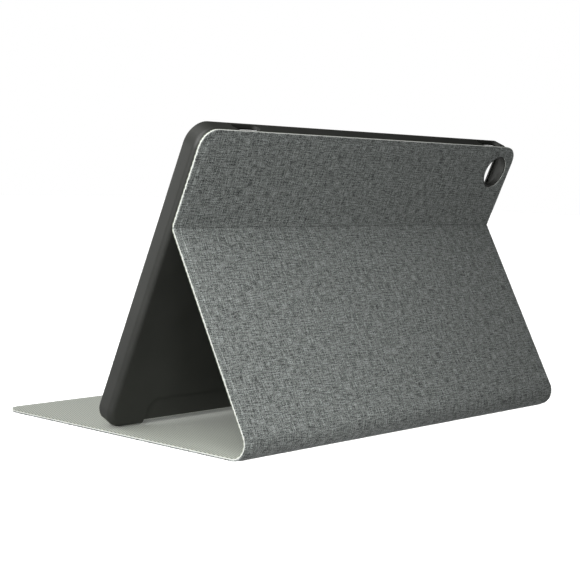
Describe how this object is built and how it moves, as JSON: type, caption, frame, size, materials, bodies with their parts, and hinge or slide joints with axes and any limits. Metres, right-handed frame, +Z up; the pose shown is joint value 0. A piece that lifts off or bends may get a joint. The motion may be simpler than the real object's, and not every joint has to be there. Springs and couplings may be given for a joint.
{
  "type": "tablet case",
  "caption": "Folding tablet case: a moulded tray glued to a cloth-covered book cover, standing open as a tent with its back panel creased across.",
  "frame": {"origin": "centre of the box the standing case fills, on the surface it stands on", "axes": "+X along the long side, towards the camera opening; +Y from the spine towards the free edge of the front cover; +Z up"},
  "size_m": [0.254, 0.1748, 0.1511],
  "materials": {
    "tpu": "matt moulded",
    "cloth": "grey melange weave, coated",
    "backing": "white nonwoven, cut raw at the edges",
    "board": "stiffening board",
    "lining": "fine twill microfibre",
    "glue": "glue film",
    "magnet": "nickel plated"
  },
  "bodies": {
    "front_cover": {"front_skin": "cloth", "front_backing": "backing", "front_board": "board", "front_lining": "lining", "sleep_magnets": "magnet"},
    "spine_lower": {"spine_lower_skin": "cloth", "spine_lower_backing": "backing", "spine_lower_lining": "lining"},
    "spine_upper": {"spine_upper_skin": "cloth", "spine_upper_backing": "backing", "spine_upper_lining": "lining"},
    "stand_panel": {"stand_skin": "cloth", "stand_backing": "backing", "stand_board": "board", "stand_lining": "lining"},
    "tray_body": {"tray": "tpu", "glue_film": "glue", "upper_skin": "cloth", "upper_backing": "backing", "upper_board": "board", "upper_lining": "lining"}
  },
  "joints": [
    {"name": "cover_open", "type": "hinge", "parent": "front_cover", "child": "spine_lower", "pos_m": [0, -0.08108, 0.0019], "axis": [1, 0, 0], "range_deg": [0, 45]},
    {"name": "spine_middle", "type": "hinge", "parent": "spine_lower", "child": "spine_upper", "pos_m": [0, -0.08433, 0.00515], "axis": [1, 0, 0], "range_deg": [-12.5, 23]},
    {"name": "stand_open", "type": "hinge", "parent": "spine_upper", "child": "stand_panel", "pos_m": [0, -0.08564, 0.00956], "axis": [1, 0, 0], "range_deg": [0, 45]},
    {"name": "crease_fold", "type": "hinge", "parent": "stand_panel", "child": "tray_body", "pos_m": [0, -0.03769, 0.10186], "axis": [-1, 0, 0], "range_deg": [-25, 46]}
  ],
  "couplings": [
    {"joint": "stand_open", "follows": "cover_open", "ratio": 1},
    {"joint": "crease_fold", "follows": "spine_middle", "ratio": 2}
  ]
}
